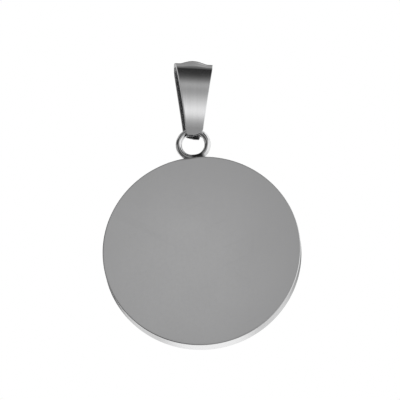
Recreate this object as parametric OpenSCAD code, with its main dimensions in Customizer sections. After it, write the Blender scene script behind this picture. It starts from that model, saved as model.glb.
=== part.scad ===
/* [Disc] */
// Diameter of the disc
disc_d = 25; // [24:0.5:26]
// Thickness of the disc
disc_t = 2.15; // [1.8:0.05:2.6]
// Radius of the rounded edge between each face and the rim
disc_edge_r = 0.1; // [0.05:0.05:0.5]
// Distance of the disc's centre to the right of the ring and the bail
disc_offset = 1.12; // [0:0.02:1.5]

/* [Ring] */
// Outer diameter of the soldered ring
ring_od = 4.45; // [4.25:0.05:4.8]
// Diameter of the ring's wire
ring_wire_d = 0.8; // [0.7:0.02:0.9]
// Depth to which the ring is let into the rim at its solder joint
ring_sink = 0.2; // [0.1:0.05:0.5]

/* [Bail strip] */
// Width of the strip across the fold
bail_top_w = 4.95; // [4:0.05:5.5]
// Width of each leg where it meets the ring
bail_low_w = 2.25; // [1.9:0.05:2.4]
// Thickness of the strip
bail_t = 0.5; // [0.4:0.02:0.6]
// Gap between the legs inside the fold and inside the hook
bail_gap = 1.6; // [1.5:0.02:1.8]
// Outward bow of each leg at the middle of its length
leg_bow = 0.19; // [0.1:0.01:0.3]
// Height from the ring's top wire to the centre of the fold
fold_rise = 7.74; // [6:0.02:9]
// Height of the crown in the middle of the fold
crown_h = 0.46; // [0:0.02:0.6]
// Width of the crown
crown_w = 3.6; // [3:0.1:4]
// Turn of the bail about the vertical axis, with the disc facing front
bail_yaw = 12; // [8:1:14]

/* [Bail tongues] */
// Width of each tongue under the ring's wire
tongue_w = 0.75; // [0.6:0.05:0.85]
// Slot between the two tongues
tongue_slot = 0.12; // [0.08:0.02:0.2]
// Thickness of each tongue at its tip
tongue_t = 0.32; // [0.3:0.02:0.5]
// Angle below the horizontal at which a leg has narrowed to its tongue
tongue_root = 52; // [40:2:60]
// Angle below the horizontal at which a tongue ends
tongue_end = 100; // [95:1:110]
// Play between the ring's wire and the tongues that carry it
wire_play = 0.04; // [0.02:0.01:0.08]

/* [Hidden] */
$fn = 96;

// Taper of the legs, slightly steeper beside the fold
taper_power = 1.15;
// Sharpness of the crown's flank across the strip
crown_power = 1.45;
// Rounding of the strip's long edges
strip_edge_r = 0.05;
// Angle below the horizontal at which a leg starts to narrow and thin
root_start = 6;
// Roundness of the shoulder where a leg narrows
root_power = 1.8;
// Angle over which a tongue's tip is rounded
tip_round = 24;
// Share of the width and of the thickness that is left at the very tip
tip_share = 0.5;

// Stations along each part of one half of the strip
fold_steps = 14;
leg_steps = 10;
hook_steps = 20;
// Points across each broad side of the strip and round each long edge
side_steps = 8;
edge_steps = 3;

wire_r = ring_wire_d / 2;
// Centre line and hole of the ring
ring_r = ring_od / 2 - wire_r;
ring_hole_r = ring_r - wire_r;
// Distance between the centres of the disc and of the ring
ring_to_disc = disc_d / 2 + ring_od / 2 - ring_sink;
disc_drop = sqrt(pow(ring_to_disc, 2) - pow(disc_offset, 2));

// Inner radius of the fold and of the hook
bend_r = bail_gap / 2;
// The ring bears on the outer edges of the tongues
tongue_reach = tongue_slot / 2 + tongue_w;
bear_drop = ring_hole_r - sqrt(pow(ring_hole_r, 2) - pow(tongue_reach, 2));
hook_rise = bend_r - wire_r - bear_drop - wire_play;

// Each leg is a flat arc that runs tangent from the fold into the hook
leg_h = fold_rise - hook_rise;
leg_tilt = 2 * atan(2 * leg_bow / leg_h);
leg_r = bend_r + leg_h / (2 * sin(leg_tilt));
leg_centre = [(leg_r - bend_r) * cos(leg_tilt), (fold_rise + hook_rise) / 2];

// Lengths along the inner side of the strip, from the crest of the fold
fold_len = bend_r * (90 - leg_tilt) * PI / 180;
leg_len = leg_r * 2 * leg_tilt * PI / 180;

// The origin is the inside top of the fold, where the chain bears
wire_z = -(fold_rise + bend_r + crown_h);
ring_z = wire_z - ring_r;
disc_z = ring_z - disc_drop;

function clamp01(v) = min(1, max(0, v));
function mix(a, b, share) = a + (b - a) * share;
function ramp(from, to, v) = clamp01((v - from) / (to - from));

// A station lies at an angle: 90 at the crest, 0 where the strip faces
// straight out, and negative where it curls under the wire
function arc_centre(a) =
    a > leg_tilt ? [0, fold_rise] :
    a >= -leg_tilt ? leg_centre :
    [0, hook_rise];
function arc_radius(a) = abs(a) > leg_tilt ? bend_r : leg_r;
function strip_length(a) =
    a > leg_tilt ? bend_r * (90 - a) * PI / 180 :
    fold_len + leg_r * (leg_tilt - a) * PI / 180;
function leg_share(a) = clamp01(strip_length(a) / (fold_len + leg_len));

// Share of the way from leg to tongue, and of the rounding at its tip
function root_share(a) = pow(ramp(root_start, tongue_root, -a), root_power);
function tip_scale(a) =
    let (k = ramp(tongue_end - tip_round, tongue_end, -a))
    mix(tip_share, 1, sqrt(1 - k * k));

function leg_half_width(a) =
    mix(bail_top_w, bail_low_w, 1 - pow(1 - leg_share(a), taper_power)) / 2;
function tongue_mid() = -(tongue_slot + tongue_w) / 2;
function tongue_edge(a, side) = tongue_mid() + side * tongue_w / 2 * tip_scale(a);
// Side -1 is the edge that a tongue follows, side 1 the edge that is cut back
function strip_edge(a, side) =
    mix(side * leg_half_width(a), tongue_edge(a, side), root_share(a));
function strip_t(a) =
    mix(bail_t, tongue_t, ramp(root_start, tongue_end, -a)) * tip_scale(a);

function crown(x, a) =
    a <= 0 ? 0 :
    crown_h * pow(sin(a), 3) * pow(max(0, 1 - pow(2 * x / crown_w, 2)), crown_power);

// One round of the strip's cross-section as [x, height above the inner side]
function section(x0, x1, t) =
    let (r = min(strip_edge_r, t / 2.5, (x1 - x0) / 2.5))
    concat(
        [for (i = [0 : side_steps]) [mix(x0 + r, x1 - r, i / side_steps), 0]],
        [for (i = [1 : edge_steps]) let (b = 90 * i / edge_steps)
            [x1 - r + r * sin(b), r - r * cos(b)]],
        [for (i = [0 : edge_steps - 1]) let (b = 90 * i / edge_steps)
            [x1 - r + r * cos(b), t - r + r * sin(b)]],
        [for (i = [0 : side_steps]) [mix(x1 - r, x0 + r, i / side_steps), t]],
        [for (i = [1 : edge_steps]) let (b = 90 * i / edge_steps)
            [x0 + r - r * sin(b), t - r + r * cos(b)]],
        [for (i = [0 : edge_steps - 1]) let (b = 90 * i / edge_steps)
            [x0 + r - r * cos(b), r - r * sin(b)]]
    );

// Front is 1 for the leg towards the front and -1 for the one at the back,
// which is the front one turned half round about the vertical axis
function station(a, front) =
    let (c = arc_centre(a), r = arc_radius(a), t = strip_t(a))
    let (x0 = front > 0 ? strip_edge(a, -1) : -strip_edge(a, 1))
    let (x1 = front > 0 ? strip_edge(a, 1) : -strip_edge(a, -1))
    [for (p = section(x0, x1, t))
        [p[0],
         -front * ((r + p[1]) * cos(a) - c[0]),
         c[1] + (r + p[1]) * sin(a) + crown(p[0], a)]];

// Flat end of the strip, in rungs from its inner to its outer side: point j of
// a round lies across from point facing - j
facing = 2 * side_steps + 2 * edge_steps + 1;
function tip_cap(base, m, flip = false) =
    [for (j = [-edge_steps : side_steps + edge_steps - 1])
        let (a = base + (j + m) % m, b = base + (j + 1 + m) % m)
        let (c = base + (facing - j - 1) % m, d = base + (facing - j) % m)
        flip ? [a, d, c, b] : [a, b, c, d]];

function angles() = concat(
    [for (i = [0 : fold_steps - 1]) mix(90, leg_tilt, i / fold_steps)],
    [for (i = [0 : leg_steps - 1]) mix(leg_tilt, -leg_tilt, i / leg_steps)],
    [for (i = [0 : hook_steps]) mix(-leg_tilt, -tongue_end, i / hook_steps)]
);

module disc_profile() {
    flat_r = disc_d / 2 - disc_edge_r;
    flat_h = disc_t - 2 * disc_edge_r;
    translate([0, -disc_t / 2]) square([flat_r, disc_t]);
    translate([0, -flat_h / 2]) square([disc_d / 2, flat_h]);
    for (side = [-1, 1])
        translate([flat_r, side * flat_h / 2]) circle(r = disc_edge_r);
}

module disc_and_ring() {
    color([0.75, 0.75, 0.76]) union() {
        translate([disc_offset, 0, disc_z])
            rotate([90, 0, 0])
            rotate_extrude() disc_profile();
        translate([0, 0, ring_z])
            rotate([90, 0, 0])
            rotate_extrude() translate([ring_r, 0]) circle(r = wire_r);
    }
}

module bail() {
    half = angles();
    last = len(half) - 1;
    rounds = concat(
        [for (i = [last : -1 : 1]) station(half[i], -1)],
        [for (i = [0 : last]) station(half[i], 1)]
    );
    n = len(rounds);
    m = len(rounds[0]);
    points = [for (round = rounds) for (p = round) p];
    walls = [for (i = [0 : n - 2]) for (j = [0 : m - 1])
        let (k = (j + 1) % m)
        each [
            [i * m + j, (i + 1) * m + k, i * m + k],
            [i * m + j, (i + 1) * m + j, (i + 1) * m + k]
        ]];
    color([0.78, 0.78, 0.79])
        translate([0, 0, wire_z])
        rotate([0, 0, bail_yaw])
        polyhedron(points, concat(tip_cap(0, m), walls, tip_cap((n - 1) * m, m, true)));
}

disc_and_ring();
bail();
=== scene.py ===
"""Round disc pendant with a soldered ring and a folded bail, in polished steel.

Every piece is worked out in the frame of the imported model, in metres: +Z up as
the pendant hangs, -Y the front of the disc and +X to the right.
"""

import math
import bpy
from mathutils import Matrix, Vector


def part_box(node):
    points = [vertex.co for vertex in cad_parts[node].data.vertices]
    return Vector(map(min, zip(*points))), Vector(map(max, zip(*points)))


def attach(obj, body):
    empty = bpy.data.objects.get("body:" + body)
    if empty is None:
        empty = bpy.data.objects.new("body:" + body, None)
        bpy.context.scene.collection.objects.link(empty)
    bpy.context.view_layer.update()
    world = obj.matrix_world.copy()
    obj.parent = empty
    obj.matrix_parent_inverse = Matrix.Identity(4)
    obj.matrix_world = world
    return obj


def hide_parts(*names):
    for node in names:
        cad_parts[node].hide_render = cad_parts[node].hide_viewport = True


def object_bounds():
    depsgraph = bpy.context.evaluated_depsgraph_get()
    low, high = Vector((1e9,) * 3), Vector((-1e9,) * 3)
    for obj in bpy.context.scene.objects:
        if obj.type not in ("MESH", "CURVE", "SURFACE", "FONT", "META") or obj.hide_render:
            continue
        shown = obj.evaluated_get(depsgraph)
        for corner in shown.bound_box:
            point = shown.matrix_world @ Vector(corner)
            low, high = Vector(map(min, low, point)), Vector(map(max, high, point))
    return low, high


bl_info = {
    "name": "Disc Pendant",
    "version": (1, 0, 0),
    "blender": (4, 5, 0),
    "location": "3D View > Sidebar > Pendant",
    "description": "Builds a disc pendant with its ring and its folded bail",
    "category": "Add Mesh",
}

import bpy
import numpy as np
from bpy.props import FloatProperty, FloatVectorProperty, PointerProperty
from mathutils import Matrix, Vector

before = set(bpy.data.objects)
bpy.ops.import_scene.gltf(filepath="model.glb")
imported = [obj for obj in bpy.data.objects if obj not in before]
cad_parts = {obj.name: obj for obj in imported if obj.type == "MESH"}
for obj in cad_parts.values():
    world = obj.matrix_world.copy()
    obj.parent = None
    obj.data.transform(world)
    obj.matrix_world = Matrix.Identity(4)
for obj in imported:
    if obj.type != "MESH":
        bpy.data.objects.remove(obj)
CAD_LOW, CAD_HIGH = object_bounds()
DISC_LOW, DISC_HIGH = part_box("disc_and_ring")
DISC_X = (DISC_LOW.x + DISC_HIGH.x) / 2

MM = 0.001


# Sizes and colours


def length(name, description, default, low=0.0):
    """A length in metres that the sidebar shows as a distance."""
    return FloatProperty(
        name=name, description=description, default=default, min=low,
        precision=5, unit="LENGTH", subtype="DISTANCE",
    )


def angle(name, description, default):
    """An angle, given in degrees and kept in radians."""
    return FloatProperty(
        name=name, description=description, default=math.radians(default),
        unit="ROTATION", subtype="ANGLE",
    )


def share(name, description, default):
    """A share from 0 to 1."""
    return FloatProperty(
        name=name, description=description, default=default,
        min=0.0, max=1.0, subtype="FACTOR",
    )


def colour(name, description, default):
    """A colour of three shares."""
    return FloatVectorProperty(
        name=name, description=description, default=default,
        min=0.0, max=1.0, size=3, subtype="COLOR",
    )


class DiscSizes(bpy.types.PropertyGroup):
    """Sizes of the disc and of the ring on its rim."""

    diameter: length("Diameter", "Diameter of the disc", 25 * MM)
    thickness: length("Thickness", "Thickness of the disc", 2.15 * MM)
    edge: length("Edge", "Radius of the edge between face and rim", 0.1 * MM)
    ring_diameter: length("Ring", "Outer diameter of the ring", 4.45 * MM)
    wire: length("Wire", "Diameter of the ring's wire", 0.8 * MM)
    solder: length("Solder", "How far the solder spreads from the wire", 0.16 * MM)


class BailSizes(bpy.types.PropertyGroup):
    """Sizes of the folded strip."""

    top_width: length("Top width", "Width of the strip across its fold", 4.95 * MM)
    low_width: length("Low width", "Width of a leg where it meets the ring", 2.25 * MM)
    thickness: length("Thickness", "Thickness of the strip", 0.5 * MM)
    gap: length("Gap", "Gap between the legs", 1.6 * MM)
    bow: length("Bow", "Outward bow of a leg", 0.19 * MM)
    rise: length("Rise", "Height of the fold above the ring's top wire", 7.74 * MM)
    crown: length("Crown", "Height of the crown in the middle of the fold", 0.46 * MM)
    crown_width: length("Crown width", "Width of the crown", 3.6 * MM)
    turn: angle("Turn", "Turn of the bail about the vertical axis", 12)
    tongue: length("Tongue", "Width of a tongue under the wire", 0.75 * MM)
    slot: length("Slot", "Slot between the two tongues", 0.12 * MM)
    tip: length("Tip", "Thickness of a tongue at its tip", 0.32 * MM)
    play: length("Play", "Play between the wire and the tongues", 0.04 * MM)
    edge: length("Edge", "Rounding of the strip's long edges", 0.05 * MM)


class SteelFinish(bpy.types.PropertyGroup):
    """Colours and polish of the steel."""

    disc_colour: colour("Disc", "Colour of the disc's steel", (0.75, 0.75, 0.755))
    bail_colour: colour("Bail", "Colour of the bail's steel", (0.78, 0.78, 0.785))
    wire_colour: colour("Ring", "Colour of the ring's steel", (0.8, 0.8, 0.805))
    polish: share("Polish", "Roughness of the polished faces", 0.09)
    wear: share("Wear", "Strength of the marks that wear leaves", 0.5)


class StageLight(bpy.types.PropertyGroup):
    """Camera, floor and light of the studio."""

    distance: length("Distance", "From the camera to the pendant", 600 * MM)
    view_width: length("View", "Width of what the camera sees", 50.63 * MM)
    azimuth: angle("Azimuth", "Camera's turn to the right", 3.5)
    elevation: angle("Elevation", "Camera's height above the horizon", -19.0)
    floor_drop: length("Floor", "Depth of the floor below the pendant", 450 * MM)
    floor_colour: colour("Floor colour", "Colour of the floor", (0.9, 0.9, 0.9))
    lamps: FloatProperty(
        name="Lamps", description="Strength of the soft lamps", default=1.0, min=0.0
    )


# Meshes


def mesh_object(name, points, quads, triangles=None, **masks):
    """A smooth mesh object at the origin, from arrays of points and of faces.

    Each mask holds a share for each point and becomes a point attribute of its
    name that the steel reads: worn_edge, satin or the mask of painted shade.
    """
    tris = np.zeros((0, 3), int) if triangles is None else np.asarray(triangles, int)
    corners = np.concatenate([quads.ravel(), tris.ravel()])
    totals = np.concatenate([np.full(len(quads), 4), np.full(len(tris), 3)])
    starts = np.concatenate([[0], np.cumsum(totals)[:-1]])
    mesh = bpy.data.meshes.new(name)
    mesh.vertices.add(len(points))
    mesh.vertices.foreach_set("co", points.astype(np.float32).ravel())
    mesh.loops.add(len(corners))
    mesh.loops.foreach_set("vertex_index", corners.astype(np.int32))
    mesh.polygons.add(len(totals))
    mesh.polygons.foreach_set("loop_start", starts.astype(np.int32))
    mesh.polygons.foreach_set("use_smooth", np.ones(len(totals), bool))
    mesh.update(calc_edges=True)
    if mesh.validate():
        raise RuntimeError(f"{name} had faces that are not valid")
    for label, mask in masks.items():
        layer = mesh.attributes.new(label, "FLOAT", "POINT")
        layer.data.foreach_set("value", np.asarray(mask).astype(np.float32).ravel())
    made = bpy.data.objects.new(name, mesh)
    bpy.context.scene.collection.objects.link(made)
    return made


def grid_quads(rows, columns, wrap_rows=False, wrap_columns=False):
    """Faces of a grid of rows x columns points, numbered row by row.

    Each face runs point, next column, next column of the next row, next row.
    """
    last_row = rows if wrap_rows else rows - 1
    last_column = columns if wrap_columns else columns - 1
    i, j = np.meshgrid(np.arange(last_row), np.arange(last_column), indexing="ij")
    below, beside = (i + 1) % rows, (j + 1) % columns
    quads = [i * columns + j, i * columns + beside, below * columns + beside, below * columns + j]
    return np.stack(quads, axis=-1).reshape(-1, 4)


def fan(pole, first, count, turned=False):
    """Triangles from a pole to the closed ring of count points from first on."""
    here = np.arange(count)
    following = first + (here + 1) % count
    here = first + here
    ends = (following, here) if turned else (here, following)
    return np.stack([np.full(count, pole), *ends], axis=1)


def spread(start, end, count, end_point=True):
    """Evenly spaced values from start to end."""
    return np.linspace(start, end, count, endpoint=end_point)


def bell(values, centre, width):
    """1 at the centre, falling off as a bell curve of that width."""
    return np.exp(-(((values - centre) / width) ** 2))


def ramp(start, end, values):
    """Share of the way from start to end, kept from 0 to 1."""
    return np.clip((values - start) / (end - start), 0, 1)


# Disc and ring

DISC_SPOKES, EDGE_POINTS = 360, 12
# Rings of points on a flat face: the shares of its radius from and to which they
# are spread, and their number. Two more lie close to the edge, at these numbers of
# edge radii from it, so that the marks on the edge stay there.
FACE_START, FACE_END, FACE_RINGS = 0.12, 0.94, 8
CLOSE_RINGS = np.array([2.0, 0.1])
# Rings of points on the rim, as shares of half its straight part
RIM_RINGS = np.array([-0.9, 0.0, 0.9])
# Middle of the worn edge, in edge radii from the rim
WORN_MIDDLE = 0.3
# Painted shade on the disc's edge at the ring's joint, where the crevice between ring
# and disc lies in shade: its strength, how many edge radii it
# reaches in, its width and how far left of the joint it lies, both in radians
JOINT_SHADE_SHARE, JOINT_SHADE_REACH, JOINT_SHADE_WIDTH, JOINT_SHADE_SHIFT = 0.65, 1.6, 0.08, 0.04

RING_ROUND, WIRE_ROUND = 240, 64
# Swelling of the wire at the joint, in spreads of the solder, and its width in
# radians along the ring
SWELL, SWELL_WIDTH = 0.45, 0.42
# The ring's painted shade beside the joint, where the wire meets the disc in shade:
# how far right of the joint its middle lies and from where to
# where it fades, in radians along the ring. It is weaker on the wire's inner side,
# as the cosine of the angle round the wire falls from the second value to the first.
RING_SHADE_SHIFT, RING_SHADE_FULL, RING_SHADE_END = 0.26, 0.28, 0.48
RING_SHADE_INNER, RING_SHADE_OUTER = -1.3, -0.6

SOLDER_RINGS, SOLDER_SPOKES = 14, 96
# Share of the mound's reach at which its first ring of points lies
SOLDER_START = 0.05
# Where the rim cuts the wire, in wire diameters out from its centre line
RIM_CUT = 0.1
# How far the mound's foot reaches past the wire and how high the mound is, in
# spreads of the solder, and how steeply it falls
SOLDER_REACH, SOLDER_RISE, SOLDER_FALL = 2.2, 1.5, 1.3
# How deep in the disc the mound's foot and the pole of its floor lie
SOLDER_FOOT, SOLDER_FLOOR = 0.02 * MM, 0.3 * MM
# Middle and width of the mound's painted shade along X, standing in for the joint's shadow
SOLDER_DARK, SOLDER_DARK_WIDTH = 0.8 * MM, 0.6 * MM


def disc_profile(radius, half, edge):
    """Profile of the disc between its front and its back pole, as (radius, y).

    The flat face runs out to the rounded edge, a quarter circle, then comes the
    straight rim, a second quarter circle and the flat back.
    """
    turn = spread(0, math.pi / 2, EDGE_POINTS)
    flat = radius - edge
    rings = spread(FACE_START, FACE_END, FACE_RINGS) * flat
    face = np.concatenate([rings, flat - CLOSE_RINGS * edge])
    front = np.stack([face, np.full_like(face, -half)], axis=1)
    front_edge = np.stack([flat + edge * np.sin(turn), -half + edge - edge * np.cos(turn)], axis=1)
    rim = np.stack([np.full_like(RIM_RINGS, radius), RIM_RINGS * (half - edge)], axis=1)
    back_edge = np.stack([front_edge[::-1, 0], -front_edge[::-1, 1]], axis=1)
    back = np.stack([front[::-1, 0], -front[::-1, 1]], axis=1)
    return np.concatenate([front, front_edge, rim, back_edge, back])


def add_disc(sizes):
    """The disc: its profile is turned about the Y axis through its centre.

    A point is centre + (radius cos u, y, radius sin u), with u round the disc.
    """
    radius, half = sizes.diameter / 2, sizes.thickness / 2
    centre = np.array([DISC_X, 0.0, DISC_LOW.z + radius])
    profile = disc_profile(radius, half, sizes.edge)
    u = spread(0, 2 * math.pi, DISC_SPOKES, False)
    across, depth = profile[:, 0][:, None], profile[:, 1][:, None]
    points = np.stack([across * np.cos(u), depth + 0 * u, across * np.sin(u)], axis=-1)
    rows = len(profile)
    poles = np.array([[0, -half, 0], [0, half, 0]])
    points = np.concatenate([points.reshape(-1, 3), poles]) + centre
    quads = grid_quads(rows, DISC_SPOKES, wrap_columns=True)[:, ::-1]
    first_pole = rows * DISC_SPOKES
    fans = np.concatenate([
        fan(first_pole, 0, DISC_SPOKES),
        fan(first_pole + 1, first_pole - DISC_SPOKES, DISC_SPOKES, turned=True),
    ])
    worn = bell(profile[:, 0], radius - WORN_MIDDLE * sizes.edge, sizes.edge)
    worn = np.concatenate([np.repeat(worn, DISC_SPOKES), [0, 0]])
    joint = math.atan2(ring_centres(sizes)[0] - centre[2], -centre[0])
    # Painted shade on the disc's edge beside the ring's joint, standing in for the crevice's
    # shadow
    near_rim = profile[:, 0] > radius - JOINT_SHADE_REACH * sizes.edge
    edge_shade = np.outer(near_rim, JOINT_SHADE_SHARE * bell(u, joint + JOINT_SHADE_SHIFT, JOINT_SHADE_WIDTH))
    edge_shade = np.concatenate([edge_shade.ravel(), [0, 0]])
    return mesh_object("disc_body", points, quads, fans, worn_edge=worn, tarnish=edge_shade)


def ring_centres(sizes):
    """Height of the ring's centre, and radius of its centre line."""
    return DISC_HIGH.z - sizes.ring_diameter / 2, (sizes.ring_diameter - sizes.wire) / 2


def add_ring(sizes):
    """The ring: a torus about the Y axis, with its wire swollen by solder below.

    A point is centre + ((R + r cos v) sin u, -r sin v, (R + r cos v) cos u). The
    wire's radius r grows at the joint, where u points at the disc's centre, and
    most on the ring's inner side.
    """
    height, main = ring_centres(sizes)
    centre = np.array([0.0, 0.0, height])
    joint = math.atan2(DISC_X, DISC_LOW.z + sizes.diameter / 2 - height)
    u = spread(0, 2 * math.pi, RING_ROUND, False)[:, None]
    v = spread(0, 2 * math.pi, WIRE_ROUND, False)[None, :]
    off_joint = (u - joint + math.pi) % (2 * math.pi) - math.pi
    swell = sizes.solder * SWELL * bell(off_joint, 0.0, SWELL_WIDTH)
    r = sizes.wire / 2 + swell * (0.5 - 0.5 * np.cos(v))
    reach = main + r * np.cos(v)
    points = np.stack([reach * np.sin(u), -r * np.sin(v), reach * np.cos(u)], axis=-1)
    quads = grid_quads(RING_ROUND, WIRE_ROUND, wrap_rows=True, wrap_columns=True)
    # Painted shade on the wire beside the joint, standing in for the crevice's shadow
    faded = ramp(RING_SHADE_FULL, RING_SHADE_END, np.abs(off_joint + RING_SHADE_SHIFT))
    tarnish = (1 - faded) * ramp(RING_SHADE_INNER, RING_SHADE_OUTER, np.cos(v))
    return mesh_object("jump_ring", points.reshape(-1, 3) + centre, quads, tarnish=tarnish)


def add_solder(sizes):
    """The solder: a low mound on the rim that the ring's wire stands in.

    It is a dome over an oval foot. With s from 0 at its top to 1 at its foot, the
    height above the rim falls as the cosine of s, raised to a power, and the foot
    bends round the rim. Its floor is closed by a pole inside the disc.
    """
    height, main = ring_centres(sizes)
    radius = sizes.diameter / 2
    centre = np.array([DISC_X, 0, DISC_LOW.z + radius])
    lean = math.atan2(-centre[0], height - centre[2])
    half_cut = math.sqrt((main + sizes.wire / 2) ** 2 - (main + sizes.wire * RIM_CUT) ** 2)
    wide = half_cut + sizes.solder * SOLDER_REACH
    deep = sizes.wire / 2 + sizes.solder
    rise = sizes.solder * SOLDER_RISE
    s = spread(SOLDER_START, 1, SOLDER_RINGS)[:, None]
    turn = spread(0, 2 * math.pi, SOLDER_SPOKES, False)[None, :]
    across = wide * s * np.cos(turn)
    depth = deep * s * np.sin(turn)
    lift = rise * np.cos(s * math.pi / 2) ** SOLDER_FALL - SOLDER_FOOT
    out = np.sqrt(radius**2 - across**2) + lift
    points = np.stack([across, depth, out], axis=-1).reshape(-1, 3)
    poles = np.array([[0, 0, radius + rise - SOLDER_FOOT], [0, 0, radius - SOLDER_FLOOR]])
    c, q = math.cos(lean), math.sin(lean)
    leaning = np.array([[c, 0, -q], [0, 1, 0], [q, 0, c]])
    points = np.concatenate([points, poles]) @ leaning + centre
    quads = grid_quads(SOLDER_RINGS, SOLDER_SPOKES, wrap_columns=True)[:, ::-1]
    first_pole = SOLDER_RINGS * SOLDER_SPOKES
    fans = np.concatenate([
        fan(first_pole, 0, SOLDER_SPOKES),
        fan(first_pole + 1, first_pole - SOLDER_SPOKES, SOLDER_SPOKES, turned=True),
    ])
    # Painted shade on the mound, darkest near one place along X
    tarnish = bell(points[:, 0], SOLDER_DARK, SOLDER_DARK_WIDTH)
    return mesh_object("solder", points, quads, fans, tarnish=tarnish)


# Bail

FOLD_STATIONS, LEG_STATIONS, HOOK_STATIONS = 48, 60, 60
SIDE_POINTS, CORNER_POINTS = 20, 7
# Shares of a broad side at which its second and its third point lie
SECOND_POINT, THIRD_POINT = 0.012, 0.05
# Points across a broad side, with the two at each of its ends
RUN_POINTS = SIDE_POINTS + 4
# Angles below the horizontal at which a leg starts to narrow, at which it is a
# tongue and at which the tongue ends, and the angle over which its tip is rounded
ROOT_START, TONGUE_ROOT, TONGUE_END, TIP_ROUND = 6.0, 52.0, 100.0, 24.0
# Sharpness of the legs' taper, of the crown's flank and of the tongue's shoulder,
# and the share of the width and of the thickness that is left at the very tip
TAPER_POWER, CROWN_POWER, ROOT_POWER, TIP_SHARE = 1.15, 1.45, 1.8, 0.5
# Power by which the crown fades round the fold
CROWN_FADE = 3
# The strip is at least this many edge radii thick and wide
EDGE_RADII = 2.5
# What rounding may add to a station's angle, in degrees
ANGLE_SLACK = 1e-9
# Angles below the horizontal between which painted shade darkens the tongues' underside, which
# lies in shade
UNDERSIDE_SHADE_START, UNDERSIDE_SHADE_FULL = 60.0, 72.0
# Painted shade on the edges of the back leg, and the angles, with 90 at the crest of
# the fold, between which it sets in
BACK_EDGE_SHADE, BACK_EDGE_START, BACK_EDGE_FULL = 0.85, 80, 40


def mix(first, second, part):
    """The value that lies that part of the way from first to second."""
    return first + (second - first) * part


def column(values):
    """One value for each station, as a column beside the points of a round."""
    return np.asarray(values)[:, None]


def section_template():
    """One round of a rounded rectangle, as five columns.

    A point lies at left + r + along (width - 2r) + r dx across the strip, and at
    r + up (thickness - 2r) + r dy through it. The last column is 1 on the edges.
    """
    middle = spread(THIRD_POINT, 1 - THIRD_POINT, SIDE_POINTS)
    run = np.concatenate([[0, SECOND_POINT], middle, [1 - SECOND_POINT, 1]])
    bend = spread(0, math.pi / 2, CORNER_POINTS)[1:]
    flat, zero = np.ones_like(run), np.zeros_like(run)
    one, none = np.ones_like(bend), np.zeros_like(bend)
    rounds = [
        np.stack([run, zero, zero, -flat, zero], axis=1),
        np.stack([one, none, np.sin(bend), -np.cos(bend), one], axis=1),
        np.stack([one, one, np.cos(bend - bend[0]), np.sin(bend - bend[0]), one], axis=1),
        np.stack([run[::-1], flat, zero, flat, zero], axis=1),
        np.stack([none, one, -np.sin(bend), np.cos(bend), one], axis=1),
        np.stack([none, none, -np.cos(bend - bend[0]), -np.sin(bend - bend[0]), one], axis=1),
    ]
    return np.concatenate(rounds)


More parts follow.
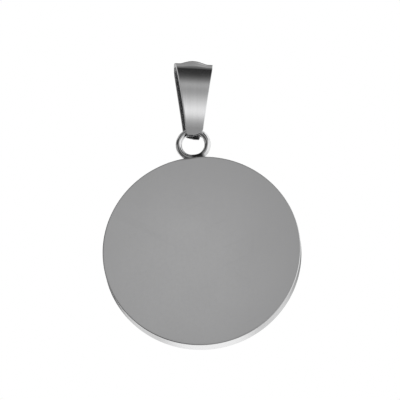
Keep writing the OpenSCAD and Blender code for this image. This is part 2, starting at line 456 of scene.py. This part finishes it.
class BailShape:
    """The strip's numbers, worked out once from its sizes, all in metres.

    A station lies at an angle: 90 at the crest of the fold, 0 where the strip
    faces straight out, and negative where it curls under the wire.
    """

    def __init__(self, sizes, disc):
        self.s = sizes
        self.bend = sizes.gap / 2
        hole = (disc.ring_diameter - disc.wire) / 2 - disc.wire / 2
        reach = sizes.slot / 2 + sizes.tongue
        bear = hole - math.sqrt(hole**2 - reach**2)
        self.hook_rise = self.bend - disc.wire / 2 - bear - sizes.play
        leg = sizes.rise - self.hook_rise
        tilt = 2 * math.atan(2 * sizes.bow / leg)
        self.tilt = math.degrees(tilt)
        self.leg_radius = self.bend + leg / (2 * math.sin(tilt))
        self.leg_centre_y = (self.leg_radius - self.bend) * math.cos(tilt)
        self.leg_centre_z = (sizes.rise + self.hook_rise) / 2
        self.fold_length = self.bend * (math.pi / 2 - tilt)
        self.leg_length = self.leg_radius * 2 * tilt

    def angles(self):
        """Angles of one half's stations, from the crest to the tongue's end."""
        return np.concatenate([
            spread(90, self.tilt, FOLD_STATIONS, False),
            spread(self.tilt, -self.tilt, LEG_STATIONS, False),
            spread(-self.tilt, -TONGUE_END, HOOK_STATIONS),
        ])

    def station_arcs(self, a):
        """Centre (y, z) and inner radius of the arc that each station is on."""
        on_leg = np.abs(a) <= self.tilt + ANGLE_SLACK
        centre_y = np.where(on_leg, self.leg_centre_y, 0.0)
        off_leg_z = np.where(a > 0, self.s.rise, self.hook_rise)
        centre_z = np.where(on_leg, self.leg_centre_z, off_leg_z)
        return centre_y, centre_z, np.where(on_leg, self.leg_radius, self.bend)

    def half_width(self, a):
        """Half the leg's width, which falls along the strip's length."""
        radians = np.radians(a)
        on_fold = self.bend * (math.pi / 2 - radians)
        on_leg = self.fold_length + self.leg_radius * (math.radians(self.tilt) - radians)
        along = np.where(a > self.tilt, on_fold, on_leg)
        part = ramp(0, self.fold_length + self.leg_length, along)
        return mix(self.s.top_width, self.s.low_width, 1 - (1 - part) ** TAPER_POWER) / 2

    def tip_scale(self, a):
        """Share of the width and thickness left where the tip is rounded."""
        k = ramp(TONGUE_END - TIP_ROUND, TONGUE_END, -a)
        return mix(TIP_SHARE, 1, np.sqrt(1 - k * k))

    def edges(self, a):
        """Left and right edge of the front half: the tongue lies to the left."""
        root = ramp(ROOT_START, TONGUE_ROOT, -a) ** ROOT_POWER
        middle = -(self.s.slot + self.s.tongue) / 2
        half = self.s.tongue / 2 * self.tip_scale(a)
        wide = self.half_width(a)
        return mix(-wide, middle - half, root), mix(wide, middle + half, root)

    def thickness(self, a):
        """Thickness of the strip, which thins towards the tip."""
        part = ramp(ROOT_START, TONGUE_END, -a)
        return mix(self.s.thickness, self.s.tip, part) * self.tip_scale(a)

    def crown(self, x, a):
        """Height that the crown adds to the fold at x across the strip."""
        flank = np.clip(1 - (2 * x / self.s.crown_width) ** 2, 0, None) ** CROWN_POWER
        return self.s.crown * np.clip(np.sin(np.radians(a)), 0, None) ** CROWN_FADE * flank

    def half(self, front):
        """Points of one half, stations x round, with front 1 or -1.

        The back half is the front one turned half round about the vertical axis.
        """
        a = self.angles()
        left, right = self.edges(a)
        left, right = (left, right) if front > 0 else (-right, -left)
        thick = self.thickness(a)
        r = np.minimum(self.s.edge, np.minimum(thick, right - left) / EDGE_RADII)
        along, up, dx, dy, _ = section_template().T
        x = column(left + r) + along * column(right - left - 2 * r) + dx * column(r)
        h = column(r) + up * column(thick - 2 * r) + dy * column(r)
        centre_y, centre_z, radius = map(column, self.station_arcs(a))
        turn = column(np.radians(a))
        y = -front * ((radius + h) * np.cos(turn) - centre_y)
        z = centre_z + (radius + h) * np.sin(turn) + self.crown(x, column(a))
        return np.stack([x, y, z], axis=-1)


def ladder_cap(first, count, flip):
    """Faces that close the strip's flat end, in rungs from side to side."""
    corner = CORNER_POINTS - 1
    facing = 2 * RUN_POINTS + 2 * corner - 1
    j = np.arange(-corner, RUN_POINTS + corner - 1)
    across = facing - j
    quads = np.stack([j, j + 1, across - 1, across], axis=1) % count + first
    return quads[:, ::-1] if flip else quads


def add_bail(sizes, disc):
    """The bail: a rounded rectangle carried along the folded strip.

    A point lies at its station's angle a on an arc about (centre y, centre z):
    y = -((r + h) cos a - centre y) and z = centre z + (r + h) sin a + crown, with
    h the height above the strip's inner side. The whole is turned about Z.
    """
    shape = BailShape(sizes, disc)
    rounds = np.concatenate([shape.half(-1)[:0:-1], shape.half(1)])
    rows, columns = rounds.shape[:2]
    height, main = ring_centres(disc)
    turn = Matrix.Rotation(sizes.turn, 3, "Z")
    points = rounds.reshape(-1, 3) @ np.array(turn).T + np.array([0, 0, height + main])
    quads = np.concatenate([
        grid_quads(rows, columns, wrap_columns=True),
        ladder_cap(0, columns, True),
        ladder_cap((rows - 1) * columns, columns, False),
    ])
    template, a = section_template(), shape.angles()
    on_edge = template[:, 4]
    worn = np.tile(on_edge, rows)
    satin = np.tile((1 - template[:, 1]) * (1 - on_edge), rows)
    along = np.concatenate([a[:0:-1], a])
    # Painted shade on the tongues' underside
    underside = np.repeat(ramp(UNDERSIDE_SHADE_START, UNDERSIDE_SHADE_FULL, -along), columns)
    # Painted shade on the back leg's edges, which stay darker than the front leg's
    below_crest = ramp(-BACK_EDGE_START, -BACK_EDGE_FULL, -along)
    back = np.where(np.arange(rows) < rows // 2, below_crest, 0)
    tarnish = np.maximum(underside, BACK_EDGE_SHADE * np.repeat(back, columns) * worn)
    return mesh_object("bail_strip", points, quads, worn_edge=worn, tarnish=tarnish, satin=satin)


# Steel

MARKS = "Steel marks"
# Levels of detail of the smudges, of the mottle and the brushing, and of scratches
SMUDGE_DETAIL, MOTTLE_DETAIL, SCRATCH_DETAIL = 3.0, 2.0, 0.0
# The long noise of a scratch: how much it is squeezed, and how sharply its middle
# value is picked out
SCRATCH_SQUEEZE, SCRATCH_SHARPNESS = 0.006, 110.0
# The noise that breaks scratches into lengths: its scale, its squeeze, its turn
# in degrees against the scratch, the value above which a length shows, and its
# sharpness
LENGTH_SCALE, LENGTH_SQUEEZE, LENGTH_TURN = 700.0, 0.25, 4.0
LENGTH_START, LENGTH_SHARPNESS = 0.52, 9.0
# Scale and turn in degrees of each run of scratches
SCRATCHES = ((900.0, 24.0), (1150.0, 81.0), (1400.0, 152.0))
# Scales of the mottle and of the brushing, and how much brushing is squeezed
MOTTLE_SCALE, BRUSHING_SCALE, BRUSHING_SQUEEZE = 2600.0, 5200.0, 0.012
# What each mark adds to the roughness
ROUGH_SMUDGE, ROUGH_GRAIN, ROUGH_SCRATCH = 0.05, 0.02, 0.03
ROUGH_EDGE, ROUGH_SATIN, ROUGH_PAINTED_SHADE = 0.05, 0.1, 0.1
# What each mark changes in the tone, with the painted shade broken up by the smudges
TONE_SMUDGE, TONE_STREAK, TONE_SCRATCH, TONE_PAINTED_SHADE = 0.05, 0.14, 0.03, 0.92
PATCH_LEAST, PATCH_SMUDGE = 0.85, 0.3
# Height of the mottle, with a scratch and brushing at 1
GRAIN_HEIGHT = 0.5
# Of each steel: size of its smudges, share of brushing and depth of its relief
DISC_MARKS = (110.0, 0.1, 0.0001 * MM)
RING_MARKS = (400.0, 0.0, 0.0002 * MM)
BAIL_MARKS = (300.0, 1.0, 0.0002 * MM)
# Share of the wear that the disc shows, and of the roughness that the ring has
DISC_WEAR, RING_POLISH = 0.3, 0.8


def new_node(tree, kind, **values):
    """A shader node with its settings."""
    node = tree.nodes.new(kind)
    for key, value in values.items():
        if hasattr(node, key):
            setattr(node, key, value)
        else:
            raise RuntimeError(f"{kind} has no setting {key}")
    return node


def put(tree, value, socket):
    """Gives a socket a number, or links it to another node's output."""
    if isinstance(value, (int, float)):
        socket.default_value = value
    else:
        tree.links.new(value, socket)


def math_node(tree, operation, *values, clamp=False):
    """A Math node whose inputs are numbers or other nodes' outputs."""
    node = new_node(tree, "ShaderNodeMath", operation=operation, use_clamp=clamp)
    for socket, value in zip(node.inputs, values):
        put(tree, value, socket)
    return node.outputs[0]


def times(tree, first, second, clamp=False):
    """The product of two numbers or outputs, kept from 0 to 1 if clamped."""
    return math_node(tree, "MULTIPLY", first, second, clamp=clamp)


def plus(tree, first, second):
    """The sum of two numbers or outputs."""
    return math_node(tree, "ADD", first, second)


def minus(tree, first, second, clamp=False):
    """The first number or output less the second, from 0 to 1 if clamped."""
    return math_node(tree, "SUBTRACT", first, second, clamp=clamp)


def stretched_noise(tree, vector, scale, squeeze, turn, detail=MOTTLE_DETAIL):
    """Noise on coordinates turned about the Y axis and then squeezed along X.

    Squeezing draws the noise out along X in the plane of the disc.
    """
    turned = new_node(tree, "ShaderNodeVectorRotate", rotation_type="Y_AXIS")
    turned.inputs["Angle"].default_value = math.radians(turn)
    tree.links.new(vector, turned.inputs["Vector"])
    mapping = new_node(tree, "ShaderNodeMapping")
    mapping.inputs["Scale"].default_value = (squeeze, 1.0, 1.0)
    tree.links.new(turned.outputs["Vector"], mapping.inputs["Vector"])
    noise = new_node(tree, "ShaderNodeTexNoise")
    noise.inputs["Scale"].default_value = scale
    noise.inputs["Detail"].default_value = detail
    tree.links.new(mapping.outputs["Vector"], noise.inputs["Vector"])
    return noise.outputs["Fac"]


def hairline(tree, vector, scale, turn):
    """Sparse thin scratches: the narrow band where a long noise is near 0.5.

    A second noise breaks them into lengths.
    """
    noise = stretched_noise(tree, vector, scale, SCRATCH_SQUEEZE, turn, SCRATCH_DETAIL)
    off = math_node(tree, "ABSOLUTE", minus(tree, noise, 0.5))
    line = minus(tree, 1.0, times(tree, off, SCRATCH_SHARPNESS), clamp=True)
    turn += LENGTH_TURN
    lengths = stretched_noise(tree, vector, LENGTH_SCALE, LENGTH_SQUEEZE, turn, SCRATCH_DETAIL)
    kept = times(tree, minus(tree, lengths, LENGTH_START), LENGTH_SHARPNESS, clamp=True)
    return times(tree, line, kept)


def steel_marks_group():
    """What handling leaves on polished steel, and painted shade, as roughness, colour and height.

    Broad smudges vary the roughness and the tone, a fine mottle the roughness and
    the height, and hairline scratches run in three directions. The masks dull the
    edges, roughen the side that was left unpolished and darken, as painted shade,
    the places that lie in shade.
    """
    group = bpy.data.node_groups.new(MARKS, "ShaderNodeTree")
    face = group.interface
    face.new_socket("Position", in_out="INPUT", socket_type="NodeSocketVector")
    face.new_socket("Colour", in_out="INPUT", socket_type="NodeSocketColor")
    inputs = (
        ("Polish", 0.09), ("Wear", 0.5), ("Smudge size", 120.0), ("Brushing", 0.0),
        ("Edge", 0.0), ("Painted shade", 0.0), ("Satin", 0.0),
    )
    for name, value in inputs:
        socket = face.new_socket(name, in_out="INPUT", socket_type="NodeSocketFloat")
        socket.default_value = value
    face.new_socket("Colour", in_out="OUTPUT", socket_type="NodeSocketColor")
    face.new_socket("Roughness", in_out="OUTPUT", socket_type="NodeSocketFloat")
    face.new_socket("Height", in_out="OUTPUT", socket_type="NodeSocketFloat")
    source = new_node(group, "NodeGroupInput").outputs
    result = new_node(group, "NodeGroupOutput").inputs
    place = source["Position"]

    smudge = new_node(group, "ShaderNodeTexNoise")
    smudge.inputs["Detail"].default_value = SMUDGE_DETAIL
    group.links.new(place, smudge.inputs["Vector"])
    group.links.new(source["Smudge size"], smudge.inputs["Scale"])
    smudge = smudge.outputs["Fac"]
    mottle = stretched_noise(group, place, MOTTLE_SCALE, 1.0, 0.0)
    brushing = stretched_noise(group, place, BRUSHING_SCALE, BRUSHING_SQUEEZE, 90.0)
    scratch = hairline(group, place, *SCRATCHES[0])
    for scale, turn in SCRATCHES[1:]:
        scratch = math_node(group, "MAXIMUM", scratch, hairline(group, place, scale, turn))
    scratch = times(group, scratch, source["Wear"])
    soft = minus(group, smudge, 0.5)
    grain = minus(group, mottle, 0.5)
    streak = times(group, minus(group, brushing, 0.5), source["Brushing"])
    # Painted shade where its mask is set, broken up by the smudges
    patches = plus(group, PATCH_LEAST, times(group, smudge, PATCH_SMUDGE))
    tarnish = times(group, source["Painted shade"], patches, clamp=True)

    rough = source["Polish"]
    for mark, strength in (
        (soft, ROUGH_SMUDGE), (grain, ROUGH_GRAIN), (scratch, ROUGH_SCRATCH),
        (source["Edge"], ROUGH_EDGE), (source["Satin"], ROUGH_SATIN), (tarnish, ROUGH_PAINTED_SHADE),
    ):
        rough = plus(group, rough, times(group, mark, strength))
    group.links.new(rough, result["Roughness"])

    tone = 1.0
    for mark, strength in ((soft, TONE_SMUDGE), (streak, TONE_STREAK), (scratch, -TONE_SCRATCH)):
        tone = plus(group, tone, times(group, mark, strength))
    # The painted shade darkens the tone
    tone = times(group, tone, minus(group, 1.0, times(group, tarnish, TONE_PAINTED_SHADE)))
    tinted = new_node(group, "ShaderNodeVectorMath", operation="SCALE")
    group.links.new(source["Colour"], tinted.inputs[0])
    group.links.new(tone, tinted.inputs["Scale"])
    group.links.new(tinted.outputs["Vector"], result["Colour"])

    height = minus(group, times(group, grain, GRAIN_HEIGHT), scratch)
    height = plus(group, height, streak)
    group.links.new(height, result["Height"])
    return group


def steel(name, tint, polish, wear, smudge_size, brushing, depth):
    """A polished steel with its own colour, polish, wear and marks."""
    material = bpy.data.materials.new(name)
    material.use_nodes = True
    tree = material.node_tree
    shader = tree.nodes["Principled BSDF"]
    shader.inputs["Metallic"].default_value = 1.0
    group = bpy.data.node_groups.get(MARKS) or steel_marks_group()
    marks = new_node(tree, "ShaderNodeGroup", node_tree=group)
    marks.inputs["Colour"].default_value = (*tint, 1.0)
    marks.inputs["Polish"].default_value = polish
    marks.inputs["Wear"].default_value = wear
    marks.inputs["Smudge size"].default_value = smudge_size
    marks.inputs["Brushing"].default_value = brushing
    place = new_node(tree, "ShaderNodeTexCoord").outputs["Object"]
    for mask, label in (("worn_edge", "Edge"), ("tarnish", "Painted shade"), ("satin", "Satin")):
        layer = new_node(tree, "ShaderNodeAttribute", attribute_name=mask)
        tree.links.new(layer.outputs["Fac"], marks.inputs[label])
    relief = new_node(tree, "ShaderNodeBump")
    relief.inputs["Strength"].default_value = 1.0
    relief.inputs["Distance"].default_value = depth
    tree.links.new(place, marks.inputs["Position"])
    tree.links.new(marks.outputs["Colour"], shader.inputs["Base Color"])
    tree.links.new(marks.outputs["Roughness"], shader.inputs["Roughness"])
    tree.links.new(marks.outputs["Height"], relief.inputs["Height"])
    tree.links.new(relief.outputs["Normal"], shader.inputs["Normal"])
    return material


# Stage

FLOOR_RADIUS, FLOOR_SPOKES = 3.0, 96
# Rings of points on the floor, as shares of its radius
FLOOR_RINGS = np.array([0.25, 0.5, 0.75, 1.0])
FLOOR_ROUGHNESS = 0.85
# Strength of the sun on the floor, and its width in degrees
SUN_STRENGTH, SUN_WIDTH = 3.0, 20
# Width of the camera's sensor in millimetres, and the nearest and the farthest
# that it sees, in metres
SENSOR_WIDTH, CLIP_START, CLIP_END = 36.0, 0.01, 20.0
# What the camera looks at: how far left of the disc's middle, and its height
TARGET_LEFT, TARGET_HEIGHT = 0.255 * MM, -18.264 * MM
WALL_GREY = 0.33
# Screens and flags round the pendant, each laid over those before it. In degrees:
# azimuth of the middle, half widths at which it starts to fade and is gone,
# elevations between which it fades in and those between which it fades out, and
# last its brightness. Azimuth 0 is the front and 90 the right.
SCREENS = (
    (180, 20, 60, 15, 24, 38, 55, 0.08),
    (180, 25, 60, -30, -20, 2, 16, 0.72),
    (180, 25, 60, -30, -20, -17, -7, 1.1),
    (-135, 12, 30, -45, -25, -2, 8, 1.1),
    (-140, 10, 27, -2, 8, 16, 38, 0.55),
    (-108, 10, 26, 28, 38, 43, 52, 0.8),
    (188, 8, 18, 6, 16, 45, 60, 0.03),
    (94, 58, 71, -45, 0, 55, 82, 0.97),
    (-72, 22, 34, 16, 21, 32, 42, 0.08),
    (-33, 11, 25, -60, -35, 30, 60, 0.06),
    (-50, 36, 52, -75, -45, -12, 5, 0.11),
    (180, 60, 90, -72, -62, -42, -30, 0.06),
    (5, 34, 46, 25.7, 30.7, 60, 85, 0.16),
    (5, 34, 46, 25.7, 30.7, 38, 58, 0.03),
)
# Soft lamps: azimuth, elevation, width and height of the glow, also in degrees,
# and its brightness
LAMPS = (
    (21, 14.9, 9, 3.2, 0.64),
    (21, 19.1, 9, 3.0, 0.25),
    (21, 25.7, 12, 1.3, 0.15),
    (-3.7, 18.25, 1.4, 1.3, 0.24),
    (44, 17.0, 12, 15, 0.15),
)


def fade(tree, value, start, end, falling=False):
    """Runs smoothly from 0 at start to 1 at end, or from 1 to 0 if falling."""
    node = new_node(tree, "ShaderNodeMapRange", interpolation_type="SMOOTHSTEP")
    first, last = (1.0, 0.0) if falling else (0.0, 1.0)
    limits = (("From Min", start), ("From Max", end), ("To Min", first), ("To Max", last))
    for name, number in limits:
        node.inputs[name].default_value = number
    tree.links.new(value, node.inputs["Value"])
    return node.outputs["Result"]


def turned_from(tree, azimuth, middle):
    """Angle between an azimuth and a middle one, from -180 to 180 degrees."""
    return math_node(tree, "WRAP", minus(tree, azimuth, middle), 180.0, -180.0)


def bell_node(tree, value, width):
    """1 where value is 0, falling off as a bell curve of that width."""
    part = math_node(tree, "DIVIDE", value, width)
    return math_node(tree, "EXPONENT", times(tree, times(tree, part, part), -1.0))


def laid_over(tree, under, over, mask):
    """The brightness over where the mask is 1, and under where it is 0."""
    node = new_node(tree, "ShaderNodeMix", data_type="FLOAT")
    for index, value in ((0, mask), (2, under), (3, over)):
        put(tree, value, node.inputs[index])
    return node.outputs[0]


def studio_world(light):
    """A soft studio: grey walls with white screens, dark flags and soft lamps.

    Its brightness depends on the direction alone. What the camera sees behind
    the pendant is the white backdrop.
    """
    world = bpy.data.worlds.new("Studio")
    world.use_nodes = True
    tree = world.node_tree
    direction = new_node(tree, "ShaderNodeTexCoord").outputs["Generated"]
    axes = new_node(tree, "ShaderNodeSeparateXYZ")
    tree.links.new(direction, axes.inputs[0])
    forward = times(tree, axes.outputs["Y"], -1.0)
    around = math_node(tree, "ARCTAN2", axes.outputs["X"], forward)
    one_radian = math.degrees(1)
    azimuth = times(tree, around, one_radian)
    elevation = times(tree, math_node(tree, "ARCSINE", axes.outputs["Z"]), one_radian)
    grey = WALL_GREY
    for middle, full, gone, bottom, low, high, top, brightness in SCREENS:
        away = math_node(tree, "ABSOLUTE", turned_from(tree, azimuth, middle))
        across = fade(tree, away, full, gone, falling=True)
        above = fade(tree, elevation, bottom, low)
        below = fade(tree, elevation, high, top, falling=True)
        mask = times(tree, across, times(tree, above, below))
        grey = laid_over(tree, grey, brightness, mask)
    for middle, height, wide, high, brightness in LAMPS:
        glow = times(
            tree,
            bell_node(tree, turned_from(tree, azimuth, middle), wide),
            bell_node(tree, minus(tree, elevation, height), high),
        )
        grey = plus(tree, grey, times(tree, glow, brightness * light.lamps))
    seen = new_node(tree, "ShaderNodeLightPath").outputs["Is Camera Ray"]
    tree.links.new(laid_over(tree, grey, 1.0, seen), tree.nodes["Background"].inputs["Color"])
    return world


def add_floor(light):
    """The floor: a flat round sheet far below the hanging pendant.

    Its points lie on spokes at radius r, (r cos u, r sin u), from a pole outward.
    """
    u = spread(0, 2 * math.pi, FLOOR_SPOKES, False)
    r = FLOOR_RINGS[:, None] * FLOOR_RADIUS
    height = CAD_LOW.z - light.floor_drop
    points = np.stack([r * np.cos(u), r * np.sin(u), height + 0 * r * u], axis=-1)
    points = np.concatenate([points.reshape(-1, 3), [[0, 0, height]]])
    rows = len(FLOOR_RINGS)
    quads = grid_quads(rows, FLOOR_SPOKES, wrap_columns=True)[:, ::-1]
    middle = fan(rows * FLOOR_SPOKES, 0, FLOOR_SPOKES)
    floor = mesh_object("floor", points, quads, middle)
    material = bpy.data.materials.new("Pale floor")
    material.use_nodes = True
    shader = material.node_tree.nodes["Principled BSDF"]
    shader.inputs["Base Color"].default_value = (*light.floor_colour, 1.0)
    shader.inputs["Roughness"].default_value = FLOOR_ROUGHNESS
    floor.data.materials.append(material)
    floor.visible_glossy = False
    return floor


def add_camera(light):
    """The camera, below the pendant and a little to its right, looking up."""
    target = Vector((DISC_X - TARGET_LEFT, 0, TARGET_HEIGHT))
    a, e = light.azimuth, light.elevation
    back = Vector((math.sin(a) * math.cos(e), -math.cos(a) * math.cos(e), math.sin(e)))
    data = bpy.data.cameras.new("Camera")
    data.sensor_width = SENSOR_WIDTH
    data.lens = data.sensor_width * light.distance / light.view_width
    data.clip_start, data.clip_end = CLIP_START, CLIP_END
    camera = bpy.data.objects.new("Camera", data)
    camera.location = target + back * light.distance
    camera.rotation_euler = (-back).to_track_quat("-Z", "Y").to_euler()
    bpy.context.scene.collection.objects.link(camera)
    bpy.context.scene.camera = camera
    return camera


def add_floor_light():
    """A soft sun from above that lights the floor and isn't mirrored in the steel."""
    data = bpy.data.lights.new("Floor light", "SUN")
    data.energy = SUN_STRENGTH
    data.angle = math.radians(SUN_WIDTH)
    lamp = bpy.data.objects.new("Floor light", data)
    lamp.visible_glossy = False
    bpy.context.scene.collection.objects.link(lamp)
    return lamp


# Operators


class PENDANT_OT_add_disc(bpy.types.Operator):
    """Adds the disc, the ring on its rim and the solder between them"""

    bl_idname = "pendant.add_disc"
    bl_label = "Add Disc and Ring"

    def execute(self, context):
        sizes, finish = context.scene.pendant_disc, context.scene.pendant_finish
        disc, ring, solder = add_disc(sizes), add_ring(sizes), add_solder(sizes)
        polish, wear = finish.polish, finish.wear
        face = steel("Disc steel", finish.disc_colour, polish, wear * DISC_WEAR, *DISC_MARKS)
        wire = steel("Ring steel", finish.wire_colour, polish * RING_POLISH, wear, *RING_MARKS)
        for piece, material in ((disc, face), (ring, wire), (solder, wire)):
            piece.data.materials.append(material)
            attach(piece, "disc")
        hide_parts("disc_and_ring")
        return {"FINISHED"}


class PENDANT_OT_add_bail(bpy.types.Operator):
    """Adds the folded strip that the ring hangs in"""

    bl_idname = "pendant.add_bail"
    bl_label = "Add Bail"

    def execute(self, context):
        finish = context.scene.pendant_finish
        bail = add_bail(context.scene.pendant_bail, context.scene.pendant_disc)
        strip = steel("Bail steel", finish.bail_colour, finish.polish, finish.wear, *BAIL_MARKS)
        bail.data.materials.append(strip)
        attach(bail, "bail")
        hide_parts("bail")
        return {"FINISHED"}


class PENDANT_OT_add_stage(bpy.types.Operator):
    """Adds the floor, the studio light and the camera"""

    bl_idname = "pendant.add_stage"
    bl_label = "Add Stage"

    def execute(self, context):
        scene = context.scene
        scene.world = studio_world(scene.pendant_stage)
        scene.view_settings.view_transform = "Standard"
        add_floor(scene.pendant_stage)
        add_floor_light()
        add_camera(scene.pendant_stage)
        return {"FINISHED"}


class PENDANT_PT_sidebar(bpy.types.Panel):
    """Sizes and colours of the pendant, with a button for each piece"""

    bl_idname = "PENDANT_PT_sidebar"
    bl_label = "Disc Pendant"
    bl_space_type = "VIEW_3D"
    bl_region_type = "UI"
    bl_category = "Pendant"

    def draw(self, context):
        for kind, group, operator in PARTS:
            box = self.layout.box()
            settings = getattr(context.scene, group)
            for name in kind.__annotations__:
                box.prop(settings, name)
            if operator:
                box.operator(operator.bl_idname)


PARTS = (
    (DiscSizes, "pendant_disc", PENDANT_OT_add_disc),
    (BailSizes, "pendant_bail", PENDANT_OT_add_bail),
    (SteelFinish, "pendant_finish", None),
    (StageLight, "pendant_stage", PENDANT_OT_add_stage),
)


def register():
    """Registers the settings, the operators and the panel."""
    for kind, group, operator in PARTS:
        bpy.utils.register_class(kind)
        setattr(bpy.types.Scene, group, PointerProperty(type=kind))
        if operator:
            bpy.utils.register_class(operator)
    bpy.utils.register_class(PENDANT_PT_sidebar)


def unregister():
    """Takes away what register added."""
    bpy.utils.unregister_class(PENDANT_PT_sidebar)
    for kind, group, operator in reversed(PARTS):
        if operator:
            bpy.utils.unregister_class(operator)
        delattr(bpy.types.Scene, group)
        bpy.utils.unregister_class(kind)


def main():
    """Builds the pendant and its stage."""
    register()
    bpy.ops.pendant.add_disc()
    bpy.ops.pendant.add_bail()
    bpy.ops.pendant.add_stage()
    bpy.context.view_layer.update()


if __name__ == "__main__":
    main()
